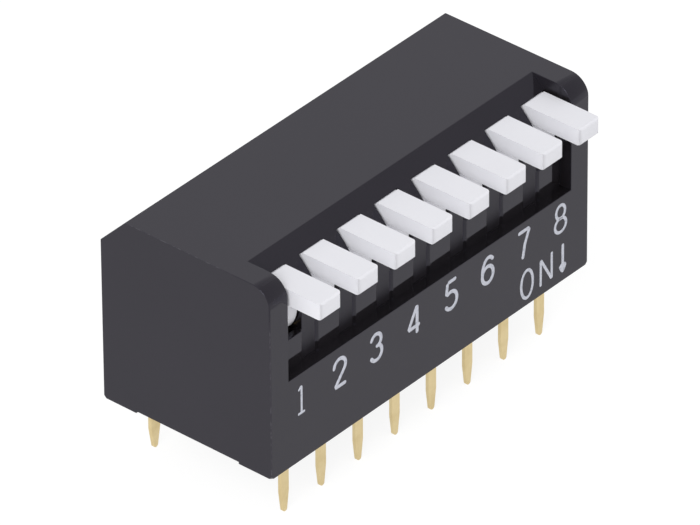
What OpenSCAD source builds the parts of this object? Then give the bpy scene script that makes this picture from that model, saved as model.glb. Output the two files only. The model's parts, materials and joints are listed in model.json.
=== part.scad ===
// Eight-way piano-style DIP switch, in millimetres.
// X runs along the row of levers, -Y is the lever side and +Z is up.
// The origin is at the centre of the terminal grid, on the board surface that the case stands on.

/* [Grid] */
// Spacing of the levers and of the terminals in a row
pitch = 2.54; // [2.5:0.01:2.8]
// Spacing of the two terminal rows
row_gap = 7.62; // [7.4:0.01:7.8]

/* [Case] */
// Distance from the middle of a terminal row to the nearest long face
row_margin = 1.13; // [1.02:0.01:1.5]
// Height of the case above the board
case_h = 10.07; // [10.0:0.01:11]
// Distance from the centre of an end lever to the end face
end_margin = 2.08; // [2.02:0.01:2.6]
// Thickness of each end wall, which also forms an ear beside the levers
ear_t = 1.22; // [1:0.01:1.25]
// Radius of the ear's upper front corner
ear_r = 1; // [0.5:0.05:1.5]
// Distance that the flat top stops short of the front face
recess_d = 2.31; // [2.25:0.01:2.6]
// Height of the shoulder that slopes from the top's front edge down to the ribs
shoulder_drop = 1.7; // [1.5:0.01:2]
// Bulge of the shoulder's slope
shoulder_crown = 0.06; // [0.03:0.01:0.12]
// Distance of the ribs' upright faces behind the front face
rib_d = 0.67; // [0.6:0.01:0.75]
// Distance that the pad under each slot stands proud of the ribs
pad_proud = 0.1; // [0.05:0.01:0.2]
// Width of the pad under each slot
pad_w = 1.5; // [1.2:0.01:1.56]
// Slope of a pad's sides, measured along the row
pad_draft = 0.05; // [0.01:0.01:0.2]
// Height of the ledge above the board
ledge_h = 4.66; // [4.2:0.02:5]
// Run of the bevel along the top's back edge
bevel_run = 1.5; // [0.5:0.05:2]
// Drop of the bevel along the top's back edge
bevel_drop = 1.54; // [0.5:0.02:2]
// Radius of the upright corners of the case
corner_r = 0.06; // [0.03:0.01:0.3]
// Thickness of the roof over the mechanism
roof_t = 0.85; // [0.75:0.01:0.9]
// Thickness of the front and back walls beside the base
skirt_t = 0.6; // [0.5:0.01:0.65]
// Thickness of the back wall behind the mechanism
back_t = 0.8; // [0.7:0.01:0.9]
// Length of the relief in each end wall's lower edge
relief_l = 6; // [4:0.1:7]
// Height of the relief in each end wall's lower edge
relief_h = 0.1; // [0.05:0.01:0.3]

/* [Slots] */
// Width of each lever slot and of the cell behind it
slot_w = 1.62; // [1.58:0.01:1.7]
// Height of the slot's lower edge above the board
slot_bottom = 6.28; // [6.0:0.02:6.4]

/* [Levers] */
// Width of a lever
lever_w = 1.42; // [1.3:0.01:1.46]
// Thickness of a lever's arm
arm_t = 0.86; // [0.6:0.01:0.9]
// Distance of the step on an arm's upper face behind the front face
step_d = 1.48; // [1.4:0.01:1.5]
// Height of that step, below which the arm passes into the case
step_h = 0.09; // [0.06:0.01:0.2]
// Distance that an arm reaches in front of the front face
arm_reach = 1.76; // [1.4:0.02:2.2]
// Radius of the upright edges at an arm's end
arm_edge_r = 0.2; // [0.1:0.01:0.3]
// Radius of the level edges at an arm's end
arm_nose_r = 0.12; // [0.05:0.01:0.2]
// Distance of the pivot behind the front row of terminals
pivot_d = 1.41; // [1.38:0.01:1.5]
// Distance of the pivot below the top face
pivot_drop = 2.67; // [2.65:0.01:2.75]
// Radius of the hub about the pivot
hub_r = 1.7; // [1.6:0.01:1.72]
// Radius of the stubs that a lever turns on
stub_r = 0.5; // [0.4:0.01:0.55]
// Length of each stub
stub_l = 0.45; // [0.4:0.01:0.48]
// Angle that a lever turns from off to on
on_angle = 45; // [35:1:48]
// Reach of the heel that stops the lever, from the pivot
heel_r = 2.3; // [2.2:0.01:2.5]

/* [Contacts] */
// Thickness of the terminal sheet
sheet_t = 0.2; // [0.15:0.01:0.22]
// Width of a front terminal below the base
front_pin_w = 0.53; // [0.4:0.01:0.66]
// Width of a back terminal below the base
back_pin_w = 0.62; // [0.4:0.01:0.66]
// Length of a terminal below the board surface
pin_l = 3.3; // [2.5:0.05:4]
// Length of the taper towards a terminal's tip
pin_taper = 1.1; // [0.6:0.05:1.6]
// Width of a terminal at its tip
pin_tip_w = 0.28; // [0.2:0.01:0.34]
// Width of a terminal's blade above the base
blade_w = 0.9; // [0.7:0.01:1]
// Thickness of the moving contact
wiper_t = 0.1; // [0.08:0.01:0.12]
// Angle that the moving contact spans around the hub
wiper_span = 45; // [40:1:48]

/* [Base] */
// Height of the base's upper face above the board
base_top = 3; // [2.6:0.02:3.4]
// Height of the base's lower face above the board
base_lift = 0.15; // [0.1:0.01:0.4]

/* [Hidden] */
positions = 8;

// Clearances between pieces
slide_gap = 0.03;     // a lever's arm below its slot's upper edge
stop_gap = 0.08;      // a lever's heel below the roof when the lever is on
bearing_gap = 0.05;   // a stub in its bearing, on the radius
contact_gap = 0.05;   // a moving contact's tips off the terminals, on the radius
seat_gap = 0.03;      // the base in the case, and a post in its notch
sheet_gap = 0.02;     // a terminal in the base, and a moving contact on its hub
cell_gap = 0.09;      // a front terminal behind the front wall
block_gap = 0.05;     // a terminal beside the base's block

// Case
case_d = row_gap + 2 * row_margin;
case_l = (positions - 1) * pitch + 2 * end_margin;
front_y = -case_d / 2;
back_y = case_d / 2;
ear_in = case_l / 2 - ear_t;
top_y = front_y + recess_d;
rib_y = front_y + rib_d;
shoulder_z = case_h - shoulder_drop;
shoulder_slope = [top_y - rib_y, shoulder_drop];
shoulder_r = (pow(norm(shoulder_slope) / 2, 2) + pow(shoulder_crown, 2)) / (2 * shoulder_crown);
skirt_y = case_d / 2 - skirt_t;
roof_z = case_h - roof_t;

// Levers
arm_sink = 0.51;      // the arm's underside lies this far below the hub's top
root_run = 0.6;       // the arm grows out of the hub this far in front of the pivot
pivot_y = -row_gap / 2 + pivot_d;
pivot_z = case_h - pivot_drop;
arm_bottom = pivot_z + hub_r - arm_sink;
arm_top = arm_bottom + arm_t;
step_y = front_y + step_d;
step_z = arm_top - step_h;
arm_end = front_y - arm_reach;
root_y = pivot_y - root_run;
slot_top = step_z + slide_gap;
slot_back = root_y + arm_t / 2;
bearing_r = stub_r + bearing_gap;
bearing_end = lever_x(positions) + lever_w / 2 + stub_l + bearing_gap;
heel_half = asin((roof_z - pivot_z - stop_gap) / heel_r) - on_angle;
heel_lip = 0.2;       // the heel's lower corner lies this far below the pivot
heel_root = 0.35;     // its lower face starts this far below the pivot

// Contacts
contact_room = 0.2;   // from the hub to the terminals
contact_r = hub_r + contact_room;
wiper_r = hub_r + sheet_gap;
wiper_tip_r = 0.06;
wiper_back = 5;
wiper_front = wiper_back - wiper_span;
tip_in = 3;           // angle from an end of the strip to its raised tip
tab_l = 0.4;
tab_angle = (wiper_front + wiper_back) / 2;
touch_angle = 40;
rail_z = pivot_z - contact_r - sheet_t / 2;
rail_over = 0.3;      // a front terminal ends this far behind the pivot
blade_rise = 0.9;     // a back terminal's blade above a front terminal's
blade_z = rail_z + blade_rise;
touch_r = contact_r + sheet_t / 2;
touch_y = pivot_y + touch_r * sin(touch_angle);
touch_z = pivot_z - touch_r * cos(touch_angle);
touch_run = (blade_z - touch_z) / tan(touch_angle);
touch_tip = 0.2;

// Cells behind the slots, and the base's blocks in them
cell_front = -row_gap / 2 - sheet_t / 2 - cell_gap;
cell_back = back_y - back_t;
block_w = slot_w - 4 * seat_gap;
valley_run = 0.6;     // from the pivot back to the block's valley
valley_rise = 0.6;    // height of that valley above the base
ramp_run = 0.2;       // the block starts to fall this far behind the pivot
foot_l = 0.5;
foot_h = 0.3;

$fn = 48;
far = 1;

function lever_x(i) = (i - (positions + 1) / 2) * pitch;
// The end cells run out to the ears' inner faces, and the others are slot_w wide
function cell_from(i) = i == 1 ? -ear_in : lever_x(i) - slot_w / 2;
function cell_to(i) = i == positions ? ear_in : lever_x(i) + slot_w / 2;
// The front row is on side -1 and the back row on side 1
function pin_w(side) = side < 0 ? front_pin_w : back_pin_w;

// Extrudes a Y-Z outline along X, from x0 to x1
module along_x(x0, x1) {
    translate([x0, 0, 0]) rotate([90, 0, 90]) linear_extrude(height = x1 - x0) children();
}

// Extrudes an X-Z outline by t along Y, centred on y
module along_y(y, t) {
    translate([0, y + t / 2, 0]) rotate([90, 0, 0]) linear_extrude(height = t) children();
}

// A box from its lower corner to its upper corner
module box(from, to) {
    translate(from) cube(to - from);
}

// A sheet bent along a path of centre-line points, seen from its edge
module bent_sheet(path, t) {
    for (k = [0:len(path) - 2]) {
        run = path[k + 1] - path[k];
        translate(path[k]) rotate(atan2(run[1], run[0])) translate([0, -t / 2])
            square([norm(run), t]);
    }
    for (k = [1:len(path) - 2]) translate(path[k]) circle(d = t);
}

// ---- Case

module case_outline() {
    difference() {
        polygon([
            [front_y, 0], [back_y, 0],
            [back_y, case_h - bevel_drop], [back_y - bevel_run, case_h],
            [front_y, case_h]
        ]);
        difference() {
            translate([front_y - far, case_h - ear_r]) square([ear_r + far, ear_r + far]);
            translate([front_y + ear_r, case_h - ear_r]) circle(r = ear_r);
        }
    }
}

module case_plan() {
    x = case_l / 2;
    y = case_d / 2;
    square([2 * x - 2 * corner_r, 2 * y], center = true);
    square([2 * x, 2 * y - 2 * corner_r], center = true);
    for (sx = [-1, 1], sy = [-1, 1])
        translate([sx * (x - corner_r), sy * (y - corner_r)]) circle(r = corner_r);
}

// The shoulder's bulging slope, from the ribs up to the top's front edge
module shoulder_outline() {
    inward = [shoulder_slope[1], -shoulder_slope[0]] / norm(shoulder_slope);
    centre = [rib_y, shoulder_z] + shoulder_slope / 2 + (shoulder_r - shoulder_crown) * inward;
    intersection() {
        translate([rib_y, shoulder_z]) square(shoulder_slope);
        translate(centre) circle(r = shoulder_r, $fn = 360);
    }
}

// The space between the ears: above the ledge and in front of the ribs and the shoulder
module recess_outline() {
    difference() {
        polygon([
            [front_y - far, ledge_h], [rib_y, ledge_h], [rib_y, shoulder_z],
            [top_y, shoulder_z], [top_y, case_h + far], [front_y - far, case_h + far]
        ]);
        shoulder_outline();
    }
}

// A pad stands on the ledge and its sides slope back to the ribs
module pad_plan() {
    x = pad_w / 2;
    polygon([
        [-x, 0], [pad_draft - x, -pad_proud], [x - pad_draft, -pad_proud], [x, 0]
    ]);
}

module bearing_row() {
    rotate([0, 90, 0]) cylinder(r = bearing_r, h = 2 * bearing_end, center = true);
    box([-bearing_end, -bearing_r, base_top - far - pivot_z], [bearing_end, bearing_r, 0]);
}

module case_shell() {
    difference() {
        intersection() {
            along_x(-case_l / 2, case_l / 2) case_outline();
            linear_extrude(height = case_h) case_plan();
        }
        along_x(-ear_in, ear_in) recess_outline();
    }
    for (i = [1:positions]) translate([lever_x(i), rib_y, ledge_h])
        linear_extrude(height = slot_bottom - ledge_h) pad_plan();
}

module case() {
    color("#2c2b30") difference() {
        case_shell();
        // seat for the base
        box([-ear_in, -skirt_y, -far], [ear_in, skirt_y, base_top]);
        for (i = [1:positions]) {
            // cell for one lever and its contacts
            box([cell_from(i), cell_front, base_top - far], [cell_to(i), cell_back, roof_z]);
            // slot that its arm comes out of
            box([cell_from(i), front_y - far, slot_bottom], [cell_to(i), slot_back, slot_top]);
        }
        translate([0, pivot_y, pivot_z]) bearing_row();
        // the end walls stand on their corners
        box([-case_l, -relief_l / 2, -far], [case_l, relief_l / 2, relief_h]);
    }
}

// ---- Base

// Support for one position's blades, seen from the end
module block_outline() {
    front = -row_gap / 2 + sheet_t / 2 + block_gap;
    back = row_gap / 2 - sheet_t / 2 - block_gap;
    polygon([
        [front, base_top - far], [back, base_top - far],
        [back, blade_z - sheet_t / 2], [touch_y + touch_run, blade_z - sheet_t / 2],
        [touch_y + touch_run, base_top + valley_rise],
        [pivot_y + valley_run, base_top + valley_rise],
        [pivot_y + ramp_run, rail_z - sheet_t / 2], [front, rail_z - sheet_t / 2]
    ]);
}

// Posts close the notches under the bearings
module base_posts() {
    y0 = pivot_y - bearing_r + seat_gap;
    y1 = pivot_y + bearing_r - seat_gap;
    z1 = pivot_z - bearing_r;
    for (i = [1:positions - 1])
        box([cell_to(i) + seat_gap, y0, base_top - far], [cell_from(i + 1) - seat_gap, y1, z1]);
    for (side = [0, 1]) mirror([side, 0, 0]) {
        box([ear_in, y0, base_top - far + seat_gap], [bearing_end - seat_gap, y1, z1]);
        // a foot joins each end post to the base
        box([ear_in - foot_l, y0, base_top - far + seat_gap],
            [bearing_end - seat_gap, y1, base_top + foot_h]);
    }
}

module base() {
    x = ear_in - seat_gap;
    y = skirt_y - seat_gap;
    color("#1f1e21") difference() {
        union() {
            box([-x, -y, base_lift], [x, y, base_top]);
            for (i = [1:positions])
                along_x(lever_x(i) - block_w / 2, lever_x(i) + block_w / 2) block_outline();
            base_posts();
        }
        // slots that the terminals stand in
        for (i = [1:positions], side = [-1, 1])
            translate([lever_x(i), side * row_gap / 2, base_top / 2])
                cube([pin_w(side) + 2 * sheet_gap, sheet_t + 2 * sheet_gap, 2 * base_top],
                    center = true);
    }
}

// ---- Levers

module arm_outline() {
    r = arm_nose_r;
    polygon([
        [arm_end + r, arm_bottom], [pivot_y, arm_bottom], [pivot_y, arm_bottom + arm_t / 2],
        [root_y, step_z], [step_y, step_z], [step_y, arm_top], [arm_end + r, arm_top]
    ]);
    translate([arm_end, arm_bottom + r]) square([arm_reach, arm_t - 2 * r]);
    for (z = [arm_bottom + r, arm_top - r]) translate([arm_end + r, z]) circle(r = r);
}

module arm_plan() {
    r = arm_edge_r;
    w = lever_w;
    translate([-w / 2, arm_end + r]) square([w, pivot_y - arm_end]);
    translate([-w / 2 + r, arm_end]) square([w - 2 * r, arm_reach]);
    for (side = [-1, 1]) translate([side * (w / 2 - r), arm_end + r]) circle(r = r);
}

// A heel behind the hub meets the roof when the lever is on
module heel_outline() {
    polygon([
        [0, -heel_root], [heel_r * cos(heel_half), -heel_lip],
        heel_r * [cos(heel_half), sin(heel_half)], [0, hub_r - heel_root]
    ]);
}

module wiper_slot() {
    t = wiper_t + 2 * sheet_gap;
    rotate([tab_angle, 0, 0]) translate([0, 0, -hub_r])
        cube([blade_w + 2 * sheet_gap, t, 2 * (tab_l + sheet_gap)], center = true);
}

module lever(i) {
    color("#efeef1") translate([lever_x(i), 0, 0]) {
        intersection() {
            along_x(-lever_w / 2, lever_w / 2) arm_outline();
            linear_extrude(height = case_h) arm_plan();
        }
        translate([0, pivot_y, pivot_z]) difference() {
            union() {
                rotate([0, 90, 0]) cylinder(r = hub_r, h = lever_w, center = true, $fn = 96);
                along_x(-lever_w / 2, lever_w / 2) heel_outline();
                rotate([0, 90, 0]) cylinder(r = stub_r, h = lever_w + 2 * stub_l, center = true);
            }
            wiper_slot();
        }
    }
}

// ---- Contacts

// A curved spring strip under the hub, with a tab in the hub and a raised tip at each end
module moving_contact(i) {
    color("#e0c27a") translate([lever_x(i), pivot_y, pivot_z]) {
        rotate([90, 0, 90]) rotate_extrude(start = wiper_front - 90, angle = wiper_span)
            translate([wiper_r, -blade_w / 2]) square([wiper_t, blade_w]);
        for (a = [wiper_front + tip_in, wiper_back - tip_in]) rotate([a, 0, 0])
            translate([0, 0, contact_gap + wiper_tip_r - contact_r]) rotate([0, 90, 0])
                cylinder(r = wiper_tip_r, h = blade_w, center = true);
        rotate([tab_angle, 0, 0]) translate([-blade_w / 2, -wiper_t / 2, -wiper_r - wiper_t / 2])
            cube([blade_w, wiper_t, tab_l + wiper_t / 2]);
    }
}

// The straight part of a terminal, w wide, from its tip up to the blade
module terminal_pin(y, w) {
    r = pin_tip_w / 2;
    along_y(y, sheet_t) {
        polygon([
            [-w / 2, base_top], [-w / 2, pin_taper - pin_l], [-r, r - pin_l],
            [r, r - pin_l], [w / 2, pin_taper - pin_l], [w / 2, base_top]
        ]);
        translate([0, r - pin_l]) circle(r = r);
    }
}

// A terminal's blade is bent along a Y-Z path, which starts on top of its straight part
module terminal(i, side, path) {
    color("#d8c594") translate([lever_x(i), 0, 0]) {
        terminal_pin(path[0][0], pin_w(side));
        along_x(-blade_w / 2, blade_w / 2) bent_sheet(path, sheet_t);
    }
}

// Ends under the hub, where the moving contact always touches it
module front_terminal(i) {
    y = -row_gap / 2;
    terminal(i, -1, [[y, base_top], [y, rail_z], [pivot_y + rail_over, rail_z]]);
}

// Ends behind the hub, where the moving contact reaches it when the lever is on
module back_terminal(i) {
    y = row_gap / 2;
    terminal(i, 1, [
        [y, base_top], [y, blade_z], [touch_y + touch_run, blade_z],
        [touch_y - touch_tip * cos(touch_angle), touch_z - touch_tip * sin(touch_angle)]
    ]);
}

case();
base();
for (i = [1:positions]) {
    lever(i);
    moving_contact(i);
    front_terminal(i);
    back_terminal(i);
}
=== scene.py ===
"""An eight-way piano-style DIP switch, dressed for rendering around its solids."""

import json
import math

import bpy
from mathutils import Matrix, Vector


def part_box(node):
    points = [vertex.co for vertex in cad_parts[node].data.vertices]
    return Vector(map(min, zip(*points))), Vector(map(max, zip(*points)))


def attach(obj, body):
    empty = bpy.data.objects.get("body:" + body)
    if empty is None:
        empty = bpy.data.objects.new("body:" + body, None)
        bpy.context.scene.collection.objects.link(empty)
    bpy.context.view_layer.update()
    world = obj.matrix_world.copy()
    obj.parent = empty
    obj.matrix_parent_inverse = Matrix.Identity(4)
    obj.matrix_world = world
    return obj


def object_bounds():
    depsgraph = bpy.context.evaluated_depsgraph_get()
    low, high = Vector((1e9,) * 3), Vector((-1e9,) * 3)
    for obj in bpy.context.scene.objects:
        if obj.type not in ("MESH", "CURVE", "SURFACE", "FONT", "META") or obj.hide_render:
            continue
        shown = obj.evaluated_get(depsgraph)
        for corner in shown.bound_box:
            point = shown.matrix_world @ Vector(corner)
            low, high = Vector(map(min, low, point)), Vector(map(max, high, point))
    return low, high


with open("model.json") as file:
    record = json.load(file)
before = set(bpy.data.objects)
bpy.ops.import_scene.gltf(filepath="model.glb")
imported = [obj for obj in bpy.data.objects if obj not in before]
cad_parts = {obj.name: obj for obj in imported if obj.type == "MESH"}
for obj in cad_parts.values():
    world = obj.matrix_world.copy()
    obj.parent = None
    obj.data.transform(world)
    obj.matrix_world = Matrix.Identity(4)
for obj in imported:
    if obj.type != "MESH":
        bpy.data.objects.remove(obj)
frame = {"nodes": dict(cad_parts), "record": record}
solid_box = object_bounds()

MM = 0.001
NODES = frame["nodes"]
BODIES = frame["record"]["behaviour"]["bodies"]
POSITIONS = sum(name.startswith("lever_") for name in BODIES)
PITCH = 2.54 * MM  # from one lever to the next

# Places on the case, around the levers
CASE_LOW, CASE_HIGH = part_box("case")
EAR_X = CASE_HIGH.x - 1.22 * MM  # the inner face of an ear
RIB_Y = CASE_LOW.y + 0.67 * MM  # the front of the ribs between the slots
RIB_HALF = (PITCH - 1.50 * MM) / 2  # from the middle of a rib to a pad beside it
PAD_Y = RIB_Y - 0.10 * MM  # the front of the pads under the slots
LEDGE_Z = 4.66 * MM  # the top of the ledge under the pads
SLOT_Z = 6.28 * MM  # the lower ends of the slots


# ---------------------------------------------------------------- shader expressions

class Value:
    """A number that a material's nodes work out, for use in Python expressions."""

    def __init__(self, paint, socket):
        self.paint = paint
        self.socket = socket

    def _maths(self, operation, *values):
        return self.paint.node("ShaderNodeMath", {"operation": operation}, *values)

    def __add__(self, other):
        return self._maths("ADD", self, other)

    def __sub__(self, other):
        return self._maths("SUBTRACT", self, other)

    def __rsub__(self, other):
        return self._maths("SUBTRACT", other, self)

    def __mul__(self, other):
        return self._maths("MULTIPLY", self, other)

    __radd__ = __add__
    __rmul__ = __mul__

    def __abs__(self):
        return self._maths("ABSOLUTE", self)

    def from_multiple(self, step):
        """How far past the nearest multiple of step it is, or short of it if negative."""
        return self._maths("WRAP", self, step / 2, -step / 2)

    def past(self, limit):
        """1 where it is past the limit, and 0 elsewhere."""
        return self._maths("GREATER_THAN", self, limit)

    def above(self, low, high):
        """0 below low and 1 above high, with a smooth ramp between them."""
        settings = {"interpolation_type": "SMOOTHSTEP"}
        return self.paint.node("ShaderNodeMapRange", settings, self, low, high, 0.0, 1.0)

    def between(self, low, high, blur):
        """1 from low to high and 0 elsewhere, with a ramp as wide as blur on either side."""
        return self.above(low - blur, low) * (1.0 - self.above(high, high + blur))


class Paint:
    """A material under construction, which ends in one Principled shader."""

    def __init__(self, name):
        self.material = bpy.data.materials.new(name)
        self.material.use_nodes = True
        self.tree = self.material.node_tree
        self.shader = self.tree.nodes["Principled BSDF"]
        self.place = self.node("ShaderNodeTexCoord", {}, out="Object")

    def node(self, kind, settings, *values, out=0, **named):
        """Adds a node, gives it its settings and inputs, and returns one output."""
        made = self.tree.nodes.new(kind)
        for setting, value in settings.items():
            setattr(made, setting, value)
        for key, value in [*enumerate(values), *named.items()]:
            socket = made.inputs[key if isinstance(key, int) else key.replace("_", " ")]
            self.feed(socket, value)
        return Value(self, made.outputs[out])

    def feed(self, socket, value):
        """Links a worked-out value to a socket, or sets the socket to a plain one."""
        if isinstance(value, Value):
            self.tree.links.new(value.socket, socket)
        else:
            socket.default_value = value

    def noise(self, cell, detail=2.0, stretch=(1, 1, 1)):
        """Soft noise around 0.5, with cells about that many metres across."""
        scale = [side / cell for side in stretch]
        place = self.node("ShaderNodeMapping", {}, Vector=self.place, Scale=scale)
        return self.node("ShaderNodeTexNoise", {}, Vector=place, Scale=1.0, Detail=detail)

    def axis(self, name):
        """The X, Y or Z coordinate."""
        return self.node("ShaderNodeSeparateXYZ", {}, self.place, out="XYZ".index(name))

    def mix(self, share, first, second):
        """A colour between first and second."""
        made = self.tree.nodes.new("ShaderNodeMix")
        made.data_type = "RGBA"
        self.feed(made.inputs["Factor"], share)
        for socket, value in zip([s for s in made.inputs if s.type == "RGBA"], (first, second)):
            self.feed(socket, value if isinstance(value, Value) else (*value, 1.0))
        return Value(self, next(s for s in made.outputs if s.type == "RGBA"))

    def surface_normal(self):
        """The way that the surface faces."""
        return self.node("ShaderNodeNewGeometry", {}, out="Normal")

    def facing_x(self):
        """1 on faces that look along the row, and 0 on those that run along it."""
        return abs(self.node("ShaderNodeSeparateXYZ", {}, self.surface_normal(), out=0))

    def bend(self, normal, direction, share):
        """Turns the normal towards a direction, by a share of the way."""
        mixed = self.node("ShaderNodeMix", {"data_type": "VECTOR"}, share, out=1)
        first, second = [s for s in mixed.socket.node.inputs if s.type == "VECTOR"][-2:]
        self.feed(first, normal)
        self.feed(second, direction)
        return self.node("ShaderNodeVectorMath", {"operation": "NORMALIZE"}, mixed)

    def sharp_corner_normal(self):
        """The surface's normal, turned across or along whichever it is nearer to.

        A rounded corner then meets in one line halfway, as a crisp moulded one does.
        """
        halfway = 0.7
        normal = self.surface_normal()
        x, y, z = (self.node("ShaderNodeSeparateXYZ", {}, normal, out=i) for i in range(3))
        across = abs(x).past(halfway)
        along = 1.0 - across
        turned = self.node("ShaderNodeCombineXYZ", {}, x * across, y * along, z * along)
        return self.node("ShaderNodeVectorMath", {"operation": "NORMALIZE"}, turned)

    def bump(self, height, depth, **base):
        """Raises the surface by up to depth metres where height is 1."""
        settings = {"Height": height, "Distance": depth, "Strength": 1.0}
        normal = self.node("ShaderNodeBump", {}, **settings, **base)
        self.feed(self.shader.inputs["Normal"], normal)

    def finish(self, **sockets):
        """Feeds the shader's sockets, named with underscores, and returns the material."""
        for name, value in sockets.items():
            if isinstance(value, tuple):
                value = (*value, 1.0)
            self.feed(self.shader.inputs[name.replace("_", " ")], value)
        return self.material


# ---------------------------------------------------------------- materials

def lower_wall(paint, left, right, front=PAD_Y - 0.13 * MM):
    """1 on the wall under the levers, between two distances from the middle of a rib.

    It is 0 elsewhere, and on whatever stands in front of the plane y = front.
    """
    aside = paint.axis("X").from_multiple(PITCH)
    across = aside.between(left, right, 0.03 * MM)
    y, z = paint.axis("Y"), paint.axis("Z")
    behind = y.above(RIB_Y + 0.02 * MM, RIB_Y + 0.07 * MM)
    upright = y.above(front, front + 0.02 * MM) * (1.0 - behind)
    return across * upright * z.above(LEDGE_Z + 0.04 * MM, LEDGE_Z + 0.06 * MM)


def ear_walls(paint):
    """1 on the ears' inner faces, 0 elsewhere."""
    reach, blur = 0.03 * MM, 0.02 * MM
    sideways = paint.facing_x().above(0.6, 0.8)
    return sideways * abs(paint.axis("X")).between(EAR_X - reach, EAR_X + reach, blur)


def edge_glint_mask(paint):
    """1 along the edges of the ends, where painted highlights go, 0 elsewhere and on the ears'
    rounds.
    """
    facing = paint.facing_x()
    edge = facing.above(0.08, 0.20) * (1.0 - facing.above(0.94, 0.99))
    outer = abs(paint.axis("X")).above(CASE_HIGH.x - 0.05 * MM, CASE_HIGH.x - 0.04 * MM)
    high = paint.axis("Z").above(CASE_HIGH.z - 2.47 * MM, CASE_HIGH.z - 1.27 * MM)
    ahead = 1.0 - paint.axis("Y").above(CASE_LOW.y + 1.54 * MM, CASE_LOW.y + 3.54 * MM)
    return edge * outer * (1.0 - high * ahead)


def case_plastic():
    """Glossy black moulded plastic: faint flow marks, painted highlights in specks along the
    ends' edges, matt ribs and ears.
    """
    paint = Paint("case_plastic")
    flow = paint.noise(4.0 * MM, detail=3.0)
    grain = paint.noise(0.09 * MM, detail=2.0)
    glint_specks = paint.noise(0.16 * MM, detail=1.0).above(0.47, 0.62)
    below_slots = 1.0 - paint.axis("Z").above(SLOT_Z - 0.08 * MM, SLOT_Z - 0.03 * MM)
    ribs = lower_wall(paint, -RIB_HALF - 0.01 * MM, RIB_HALF - 0.12 * MM, PAD_Y + 0.01 * MM)
    ears = ear_walls(paint)
    # painted highlights: lighter specks along the ends' edges, where the edges catch the light
    painted_glint = edge_glint_mask(paint) * (0.35 + glint_specks * 0.65)
    # the pads' small steps run out into the ribs on one side
    run_out = lower_wall(paint, RIB_HALF - 0.02 * MM, RIB_HALF + 0.06 * MM) * below_slots
    slant = lower_wall(paint, RIB_HALF - 0.10 * MM, RIB_HALF - 0.02 * MM) * below_slots
    normal = paint.bend(paint.surface_normal(), (0, -1, 0), run_out)
    normal = paint.bend(normal, (-0.55, -0.83, 0), slant)
    paint.bump(grain, 0.0004 * MM, Normal=normal)
    fresh = paint.mix(flow, (0.0095, 0.0082, 0.0090), (0.0120, 0.0105, 0.0120))
    # the painted edge highlights lighten the colour towards this grey
    colour = paint.mix(painted_glint, fresh, (0.050, 0.048, 0.052))
    return paint.finish(
        Base_Color=colour,
        Roughness=0.05 + flow * 0.04 + ribs * 0.33 + ears * 0.25,
        Specular_IOR_Level=0.44,
        Specular_Tint=(0.777, 0.757, 1.0),
    )


def base_plastic():
    """Satin black moulded plastic."""
    paint = Paint("base_plastic")
    flow = paint.noise(3.0 * MM, detail=3.0)
    grain = paint.noise(0.06 * MM)
    paint.bump(grain, 0.003 * MM)
    colour = paint.mix(flow, (0.014, 0.014, 0.016), (0.020, 0.020, 0.023))
    return paint.finish(Base_Color=colour, Roughness=0.38 + grain * 0.15)


def lever_plastic():
    """White moulded plastic, slightly cool, with a fine matt skin and crisp corners."""
    paint = Paint("lever_plastic")
    flow = paint.noise(1.8 * MM, detail=2.0)
    grain = paint.noise(0.05 * MM, detail=2.0)
    colour = paint.mix(flow, (0.71, 0.71, 0.75), (0.75, 0.75, 0.79))
    paint.bump(grain, 0.0012 * MM, Normal=paint.sharp_corner_normal())
    return paint.finish(
        Base_Color=colour,
        Roughness=0.48 + grain * 0.10,
        Specular_IOR_Level=0.20,
    )


def plated_metal(name, light, dark):
    """Stamped sheet metal with a pale gold plating, drawn along Z."""
    paint = Paint(name)
    draw = paint.noise(0.05 * MM, detail=3.0, stretch=(1, 1, 0.06))
    stain = paint.noise(0.7 * MM, detail=3.0)
    colour = paint.mix(stain.above(0.35, 0.75), light, dark)
    paint.bump(draw, 0.002 * MM)
    return paint.finish(Base_Color=colour, Metallic=1.0, Roughness=0.27 + draw * 0.14)


def print_ink():
    """Pale ink, thinner in places."""
    paint = Paint("print_ink")
    patch = paint.noise(0.12 * MM, detail=3.0)
    thin = patch.above(0.50, 0.66)
    colour = paint.mix(thin * 0.6, (0.545, 0.56, 0.63), (0.32, 0.34, 0.40))
    paint.bump(patch, 0.002 * MM)
    return paint.finish(Base_Color=colour, Roughness=0.55)


# ---------------------------------------------------------------- geometry nodes

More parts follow.
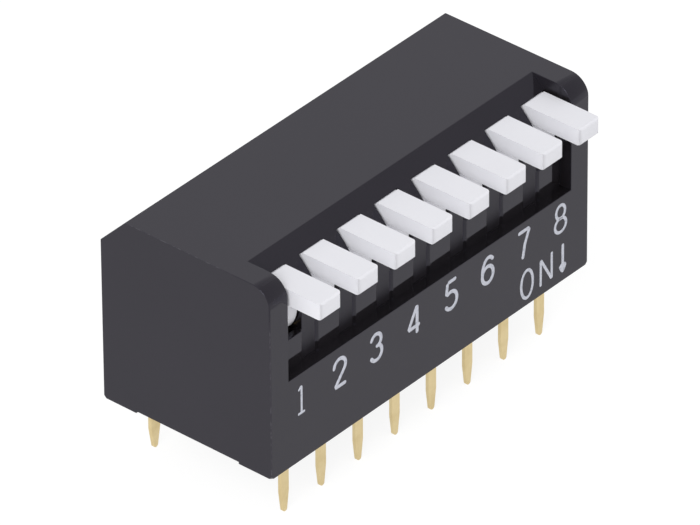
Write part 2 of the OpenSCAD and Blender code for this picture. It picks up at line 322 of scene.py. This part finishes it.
class Tree:
    """A geometry node tree, which starts from its modifier's own mesh."""

    def __init__(self, name, **inputs):
        self.tree = bpy.data.node_groups.new(name, "GeometryNodeTree")
        face = self.tree.interface
        face.new_socket("Geometry", in_out="INPUT", socket_type="NodeSocketGeometry")
        face.new_socket("Geometry", in_out="OUTPUT", socket_type="NodeSocketGeometry")
        for label, value in inputs.items():
            kind = "NodeSocketMaterial" if value is None else "NodeSocketFloat"
            socket = face.new_socket(label, in_out="INPUT", socket_type=kind)
            if value is not None:
                socket.default_value = value
        self.start = self.tree.nodes.new("NodeGroupInput")
        self.end = self.tree.nodes.new("NodeGroupOutput")

    def input(self, label):
        """One of the tree's own inputs."""
        return self.start.outputs[label]

    def node(self, kind, settings=None, out=0, **named):
        """Adds a node, gives it its settings and inputs, and returns one output.

        An input goes by its name, or by its number as _0 or _1.
        """
        made = self.tree.nodes.new(kind)
        for setting, value in (settings or {}).items():
            setattr(made, setting, value)
        for key, value in named.items():
            socket = made.inputs[int(key[1:]) if key[0] == "_" else key.replace("_", " ")]
            if isinstance(value, bpy.types.NodeSocket):
                self.tree.links.new(value, socket)
            else:
                socket.default_value = value
        return made.outputs[out]

    def maths(self, operation, first, second=0.0):
        return self.node("ShaderNodeMath", {"operation": operation}, _0=first, _1=second)

    def finish(self, geometry):
        """Ends the tree with this geometry, and returns the tree."""
        self.tree.links.new(geometry, self.end.inputs[0])
        return self.tree

    def on(self, piece, **inputs):
        """Adds the tree to a piece as a modifier, with these inputs."""
        modifier = piece.modifiers.new(self.tree.name, "NODES")
        modifier.node_group = self.tree
        for item in self.tree.interface.items_tree:
            if item.in_out == "INPUT" and item.name in inputs:
                modifier[item.identifier] = inputs[item.name]
        return modifier


def smooth_skin():
    """Shades curved faces smooth and keeps the creases between flat ones."""
    tree = Tree("smooth_skin", crease=math.radians(34))
    whole = tree.node("GeometryNodeSetShadeSmooth", Geometry=tree.input("Geometry"))
    angle = tree.node("GeometryNodeInputMeshEdgeAngle")
    hard = tree.node(
        "FunctionNodeCompare", {"operation": "GREATER_THAN"}, _0=angle, _1=tree.input("crease")
    )
    creased = tree.node(
        "GeometryNodeSetShadeSmooth",
        {"domain": "EDGE"},
        Geometry=whole,
        Selection=hard,
        Shade_Smooth=False,
    )
    tree.finish(creased)
    return tree


def outer_edges():
    """Marks the corners that stick out, so that only they are rounded."""
    tree = Tree("outer_edges", corner=math.radians(34))
    angle = tree.node("GeometryNodeInputMeshEdgeAngle", out=1)
    sharp = tree.node(
        "FunctionNodeCompare", {"operation": "GREATER_THAN"}, _0=angle, _1=tree.input("corner")
    )
    marked = tree.node(
        "GeometryNodeStoreNamedAttribute",
        {"data_type": "FLOAT", "domain": "EDGE"},
        Geometry=tree.input("Geometry"),
        Name="bevel_weight_edge",
        Value=sharp,
    )
    tree.finish(marked)
    return tree


def blunt_corners(low, high, size):
    """Takes the lower corners off a box-like piece, size metres along each edge."""
    tree = Tree("blunt_corners")
    cut = tree.node(
        "GeometryNodeMeshBoolean", {"operation": "DIFFERENCE"}, Mesh_1=tree.input("Geometry")
    )
    side = 1.0 * MM  # a cutting block, wider than what it takes off
    depth = size / math.sqrt(3)
    for x, way_x in ((low.x, -1), (high.x, 1)):
        for y, way_y in ((low.y, -1), (high.y, 1)):
            out = Vector((way_x, way_y, -1)).normalized()
            centre = Vector((x, y, low.z)) + out * (side / 2 - depth)
            block = tree.node("GeometryNodeMeshCube", Size=(side, side, side))
            turned = tree.node(
                "GeometryNodeTransform",
                Geometry=block,
                Translation=centre,
                Rotation=out.to_track_quat("Z", "Y").to_euler(),
            )
            tree.tree.links.new(turned, cut.node.inputs["Mesh 2"])
    tree.finish(cut)
    return tree


def ink_strokes():
    """Turns each chain of edges into a flat stroke of ink with round ends."""
    tree = Tree("ink_strokes", step=0.03 * MM, flatness=0.08, face_y=0.0, ink=None)
    chain = tree.node("GeometryNodeMeshToCurve", Mesh=tree.input("Geometry"))
    width = tree.node(
        "GeometryNodeInputNamedAttribute", {"data_type": "FLOAT"}, Name="half_width"
    )
    line = tree.node(
        "GeometryNodeResampleCurve", {"mode": "LENGTH"}, Curve=chain, Length=tree.input("step")
    )
    along = tree.node("GeometryNodeSplineParameter", out=1)
    total = tree.node("GeometryNodeSplineLength")
    closed = tree.node("GeometryNodeInputSplineCyclic")
    left = tree.maths("SUBTRACT", total, along)
    near_end = tree.maths("MINIMUM", along, left)
    part = tree.maths("MINIMUM", tree.maths("DIVIDE", near_end, width), 1.0)
    # the half chord of a circle, at this share of its radius from its rim
    drop = tree.maths("SUBTRACT", 1.0, part)
    chord = tree.maths("SQRT", tree.maths("SUBTRACT", 1.0, tree.maths("MULTIPLY", drop, drop)))
    thinnest = 0.02
    shape = tree.maths("MAXIMUM", tree.maths("MAXIMUM", chord, closed), thinnest)
    radius = tree.maths("MULTIPLY", width, shape)
    ring = tree.node("GeometryNodeCurvePrimitiveCircle", Resolution=10, Radius=1.0)
    tube = tree.node(
        "GeometryNodeCurveToMesh", Curve=line, Profile_Curve=ring, Scale=radius, Fill_Caps=True
    )
    place = tree.node("GeometryNodeInputPosition")
    squash = tree.node("ShaderNodeCombineXYZ", X=1.0, Y=tree.input("flatness"), Z=1.0)
    flat = tree.node("ShaderNodeVectorMath", {"operation": "MULTIPLY"}, _0=place, _1=squash)
    shift = tree.node("ShaderNodeCombineXYZ", X=0.0, Y=tree.input("face_y"), Z=0.0)
    onto = tree.node("ShaderNodeVectorMath", {"operation": "ADD"}, _0=flat, _1=shift)
    laid = tree.node("GeometryNodeSetPosition", Geometry=tube, Position=onto)
    real = tree.node("GeometryNodeRealizeInstances", Geometry=laid)
    inked = tree.node("GeometryNodeSetMaterial", Geometry=real, Material=tree.input("ink"))
    tree.finish(inked)
    return tree


# ---------------------------------------------------------------- print

# Sizes and places of the print, in millimetres
STROKE = 0.205
TALL = 1.54  # height of a character, as it is drawn
NUMBER_FOOT = 2.66  # height of the numbers above the board
NUMBER_SHIFT = 0.08  # from the middle of a lever to its number
ON_MARK = [("O", 6.66, 0.40), ("N", 8.02, 0.40), ("arrow", 9.19, 0.53)]
ARROW_HEAD = [(0.42, 0.10), (0.32, 0.25), (0.22, 0.27), (0.05, 0.20), (-0.15, 0.07)]

PRINTED = 0.95  # printed size of a character, as a share of the size it is drawn at
THINNED = {"1": 0.66, "8": 0.83, "O": 0.81, "N": 0.78, "arrow": 0.9}  # shares of STROKE
LEAN = math.radians(0.5)  # the print climbs a little to the right


def arc(x, z, rx, rz, start, end, count=28):
    """Points on an ellipse about (x, z), from start to end degrees."""
    turns = [math.radians(start + (end - start) * k / count) for k in range(count + 1)]
    return [(x + rx * math.cos(t), z + rz * math.sin(t)) for t in turns]


# Each character is a list of strokes in millimetres from the foot of its centre line
CHARACTERS = {
    "1": [[(-0.32, 1.28), (-0.10, 1.50)], [(-0.10, 1.50), (-0.10, -0.03)],
          [(-0.37, -0.03), (0.14, -0.03)]],
    "2": [arc(-0.04, 1.10, 0.41, 0.42, 190, -32) + [(-0.40, 0)], [(-0.40, 0), (0.41, 0)]],
    "3": [arc(-0.10, 1.12, 0.35, 0.36, 178, -70) + [(-0.14, 0.80)],
          arc(-0.10, 0.42, 0.40, 0.42, 70, -165)],
    "4": [[(0.18, TALL), (0.18, -0.06)], [(0.18, TALL), (-0.46, 0.36)],
          [(-0.46, 0.36), (0.40, 0.40)]],
    "5": [[(0.37, TALL + 0.02), (-0.27, TALL)], [(-0.27, TALL), (-0.36, 0.86)],
          [(-0.36, 0.86)] + arc(-0.02, 0.47, 0.43, 0.48, 118, -158)],
    "6": [arc(0, 0.47, 0.40, 0.47, 0, 360), arc(0.06, 0.60, 0.46, 0.83, 180, 42)],
    "7": [[(-0.44, TALL), (0.41, TALL)], [(0.41, TALL), (0.07, 0.76), (-0.09, -0.05)]],
    "8": [arc(0.05, 1.17, 0.33, 0.38, 0, 360), arc(0.05, 0.42, 0.41, 0.40, 0, 360)],
    "O": [arc(0, 0.74, 0.43, 0.79, 0, 360)],
    "N": [[(-0.41, 0.02), (-0.41, TALL)], [(-0.41, TALL), (0.41, 0.08)],
          [(0.41, 0.08), (0.41, TALL + 0.08)]],
    "arrow": [[(0, 1.50), (0, 0.2)]],
}


def printed_marks(ink):
    """The position numbers and the mark that shows which way is on."""
    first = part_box("lever_1")
    start = (first[0].x + first[1].x) / 2 / MM + NUMBER_SHIFT
    numbers = [(str(i + 1), start + i * PITCH / MM, NUMBER_FOOT) for i in range(POSITIONS)]
    points, edges, widths = [], [], []

    def add(path, half_widths):
        """Adds a chain of points, closed where it comes back to its start."""
        loop = len(path) > 2 and math.dist(path[0], path[-1]) < 1e-6
        if loop:
            path, half_widths = path[:-1], half_widths[:-1]
        base = len(points)
        points.extend(path)
        widths.extend(half_widths)
        edges.extend((base + k, base + k + 1) for k in range(len(path) - 1))
        if loop:
            edges.append((base + len(path) - 1, base))

    for mark, x, z in numbers + ON_MARK:
        z += x * math.sin(LEAN)
        half_stroke = STROKE / 2 * THINNED.get(mark, 1.0)
        for stroke in CHARACTERS[mark]:
            path = [(x + PRINTED * px, z + PRINTED * pz) for px, pz in stroke]
            add(path, [half_stroke] * len(path))
        if mark == "arrow":
            add([(x, z + up) for up, _ in ARROW_HEAD], [half for _, half in ARROW_HEAD])
    mesh = bpy.data.meshes.new("front_print")
    mesh.from_pydata([(x * MM, 0, z * MM) for x, z in points], edges, [])
    held = mesh.attributes.new("half_width", "FLOAT", "POINT")
    held.data.foreach_set("value", [w * MM for w in widths])
    path = bpy.data.objects.new("front_print_path", mesh)
    bpy.context.scene.collection.objects.link(path)
    ink_strokes().on(path, ink=ink, face_y=CASE_LOW.y)
    return plain_copy(path, "front_print")


def plain_copy(piece, name):
    """The piece with its modifiers applied and smooth faces, as a new plain mesh."""
    graph = bpy.context.evaluated_depsgraph_get()
    mesh = bpy.data.meshes.new_from_object(piece.evaluated_get(graph))
    mesh.name = name
    made = bpy.data.objects.new(name, mesh)
    bpy.context.scene.collection.objects.link(made)
    bpy.data.objects.remove(piece)
    for polygon in mesh.polygons:
        polygon.use_smooth = True
    return made


# ---------------------------------------------------------------- dressing the solids

def dress(node, material, rounding, corners, skin, cuts=None):
    """Gives a solid its material, rounds its marked corners and shades it smooth.

    Any cuts come after the corners are marked, so that they stay crisp.
    """
    piece = NODES[node]
    for slot in piece.material_slots:
        slot.material = material
    if not piece.material_slots:
        piece.data.materials.append(material)
    weld = piece.modifiers.new("weld", "WELD")
    weld.merge_threshold = 0.0005 * MM
    flat = piece.modifiers.new("flat_faces", "DECIMATE")
    flat.decimate_type = "DISSOLVE"
    flat.angle_limit = math.radians(0.5)
    corners.on(piece)
    if cuts:
        cuts.on(piece)
    bevel = piece.modifiers.new("edge_rounds", "BEVEL")
    bevel.width = rounding
    bevel.segments = 3
    bevel.limit_method = "WEIGHT"
    bevel.miter_outer = "MITER_ARC"
    skin.on(piece)
    even = piece.modifiers.new("even_normals", "WEIGHTED_NORMAL")
    even.keep_sharp = True


def dress_solids():
    """Dresses all the pieces that came with the frame."""
    corners = outer_edges()
    skin = smooth_skin()
    gold = plated_metal("contact_metal", (0.80, 0.63, 0.30), (0.70, 0.53, 0.24))
    pale = plated_metal("terminal_metal", (0.83, 0.68, 0.385), (0.75, 0.60, 0.32))
    white = lever_plastic()
    blunt = blunt_corners(CASE_LOW, CASE_HIGH, 0.18 * MM)
    dress("case", case_plastic(), 0.03 * MM, corners, skin, blunt)
    dress("base", base_plastic(), 0.04 * MM, corners, skin)
    for i in range(1, POSITIONS + 1):
        dress(f"lever_{i}", white, 0.012 * MM, corners, skin)
        dress(f"moving_contact_{i}", gold, 0.015 * MM, corners, skin)
        dress(f"front_terminal_{i}", pale, 0.025 * MM, corners, skin)
        dress(f"back_terminal_{i}", pale, 0.025 * MM, corners, skin)


# ---------------------------------------------------------------- studio

SKY_LIGHT = 0.76  # strength of the surroundings as light
SKY_SHADE = 0.72  # strength of their darker side as a reflection
SHADE_WAY = Vector((0.62, -0.57, 0.54)).normalized()  # where that darker side is


def studio_world():
    """White surroundings, with a darker side at the front right in reflections.

    As light they are even and dimmer, which leaves room for the lamp, and where the
    camera sees them they are plain white.
    """
    world = bpy.data.worlds.new("studio")
    bpy.context.scene.world = world
    world.use_nodes = True
    nodes, links = world.node_tree.nodes, world.node_tree.links
    background = nodes["Background"]
    background.inputs["Color"].default_value = (1.0, 1.0, 1.0, 1.0)

    def blend(share, first, second):
        made = nodes.new("ShaderNodeMix")
        made.data_type = "FLOAT"
        for socket, value in zip(made.inputs[:1] + made.inputs[2:4], (share, first, second)):
            if isinstance(value, bpy.types.NodeSocket):
                links.new(value, socket)
            else:
                socket.default_value = value
        return made.outputs[0]

    place = nodes.new("ShaderNodeTexCoord")
    toward = nodes.new("ShaderNodeVectorMath")
    toward.operation = "DOT_PRODUCT"
    toward.inputs[1].default_value = SHADE_WAY
    links.new(place.outputs["Generated"], toward.inputs[0])
    shade = nodes.new("ShaderNodeMapRange")
    shade.interpolation_type = "SMOOTHSTEP"
    shade.inputs["From Min"].default_value = 0.35
    shade.inputs["From Max"].default_value = 0.95
    shade.inputs["To Min"].default_value = 1.00
    shade.inputs["To Max"].default_value = SKY_SHADE
    links.new(toward.outputs["Value"], shade.inputs["Value"])
    rays = nodes.new("ShaderNodeLightPath").outputs
    reflected = blend(rays["Is Diffuse Ray"], shade.outputs["Result"], SKY_LIGHT)
    strength = blend(rays["Is Camera Ray"], reflected, 1.0)
    links.new(strength, background.inputs["Strength"])


FLOOR_HALF = 0.6  # half the width of the table, in metres
FLOOR_COLOUR = (0.85, 0.85, 0.85, 1)
FLOOR_GLOW = 0.92  # its own light in reflections
FLOOR_GLOW_SEEN = 1.12  # its own light where the camera sees it
FLOOR_EVENNESS = 0.78  # share of that light in its look, the rest taking the shadow


def studio_floor():
    """A white table under the terminals' tips, with a faint shadow on it."""
    low, high = solid_box
    half, z = FLOOR_HALF, low[2]
    mesh = bpy.data.meshes.new("floor")
    corners = [(-half, -half, z), (half, -half, z), (half, half, z), (-half, half, z)]
    mesh.from_pydata(corners, [], [(0, 1, 2, 3)])
    floor = bpy.data.objects.new("floor", mesh)
    bpy.context.scene.collection.objects.link(floor)
    material = bpy.data.materials.new("floor_white")
    material.use_nodes = True
    nodes, links = material.node_tree.nodes, material.node_tree.links
    nodes.clear()
    out = nodes.new("ShaderNodeOutputMaterial")
    plain = nodes.new("ShaderNodeBsdfDiffuse")
    plain.inputs["Color"].default_value = FLOOR_COLOUR
    glow = nodes.new("ShaderNodeEmission")
    rays = nodes.new("ShaderNodeLightPath").outputs
    strength = nodes.new("ShaderNodeMapRange")
    strength.inputs["To Min"].default_value = FLOOR_GLOW
    strength.inputs["To Max"].default_value = FLOOR_GLOW_SEEN
    links.new(rays["Is Camera Ray"], strength.inputs["Value"])
    links.new(strength.outputs["Result"], glow.inputs["Strength"])

    def mix(share, first, second):
        made = nodes.new("ShaderNodeMixShader")
        for socket, value in zip(made.inputs, (share, first, second)):
            if isinstance(value, float):
                socket.default_value = value
            else:
                links.new(value, socket)
        return made.outputs[0]

    seen = nodes.new("ShaderNodeMath")
    seen.operation = "MAXIMUM"
    links.new(rays["Is Camera Ray"], seen.inputs[0])
    links.new(rays["Is Glossy Ray"], seen.inputs[1])
    white = mix(FLOOR_EVENNESS, plain.outputs[0], glow.outputs[0])
    above = mix(seen.outputs[0], plain.outputs[0], white)
    # from below, the table can be seen through
    side = nodes.new("ShaderNodeNewGeometry").outputs["Backfacing"]
    clear = nodes.new("ShaderNodeBsdfTransparent")
    links.new(mix(side, above, clear.outputs[0]), out.inputs["Surface"])
    mesh.materials.append(material)


def studio_lamp():
    """A large soft lamp, high up beyond the left end and a little in front."""
    data = bpy.data.lights.new("front_light", "AREA")
    data.shape = "DISK"
    data.size = 0.3
    data.energy = 1.4
    lamp = bpy.data.objects.new("front_light", data)
    bpy.context.scene.collection.objects.link(lamp)
    aim = Vector((0, 0, 0.004))
    distance = 0.5
    way = Vector((-0.71, -0.33, 0.61)).normalized()
    lamp.location = aim + way * distance
    lamp.rotation_euler = way.to_track_quat("Z", "Y").to_euler()


def camera():
    """Looks down at the lever side and the left end from far away."""
    azimuth, elevation, roll = (math.radians(a) for a in (-49.386, 34.599, -0.404))
    target = Vector((0.188, 0, 3.574)) * MM
    distance = 467.02 * MM
    back = Vector((
        math.sin(azimuth) * math.cos(elevation),
        -math.cos(azimuth) * math.cos(elevation),
        math.sin(elevation),
    ))
    right = Vector((math.cos(azimuth), math.sin(azimuth), 0))
    up = back.cross(right)
    side = right * math.cos(roll) + up * math.sin(roll)
    top = up * math.cos(roll) - right * math.sin(roll)
    data = bpy.data.cameras.new("camera")
    data.sensor_width = 36
    data.lens = 536.68
    data.clip_start = 0.01
    data.clip_end = 10
    eye = bpy.data.objects.new("camera", data)
    bpy.context.scene.collection.objects.link(eye)
    turn = Matrix((side, top, back)).transposed().to_4x4()
    eye.matrix_world = Matrix.Translation(target + back * distance) @ turn
    bpy.context.scene.camera = eye


# ---------------------------------------------------------------- the switch

camera()
studio_world()
studio_floor()
studio_lamp()
dress_solids()
marks = printed_marks(print_ink())
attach(marks, "housing")

bpy.context.scene.view_settings.view_transform = "Standard"
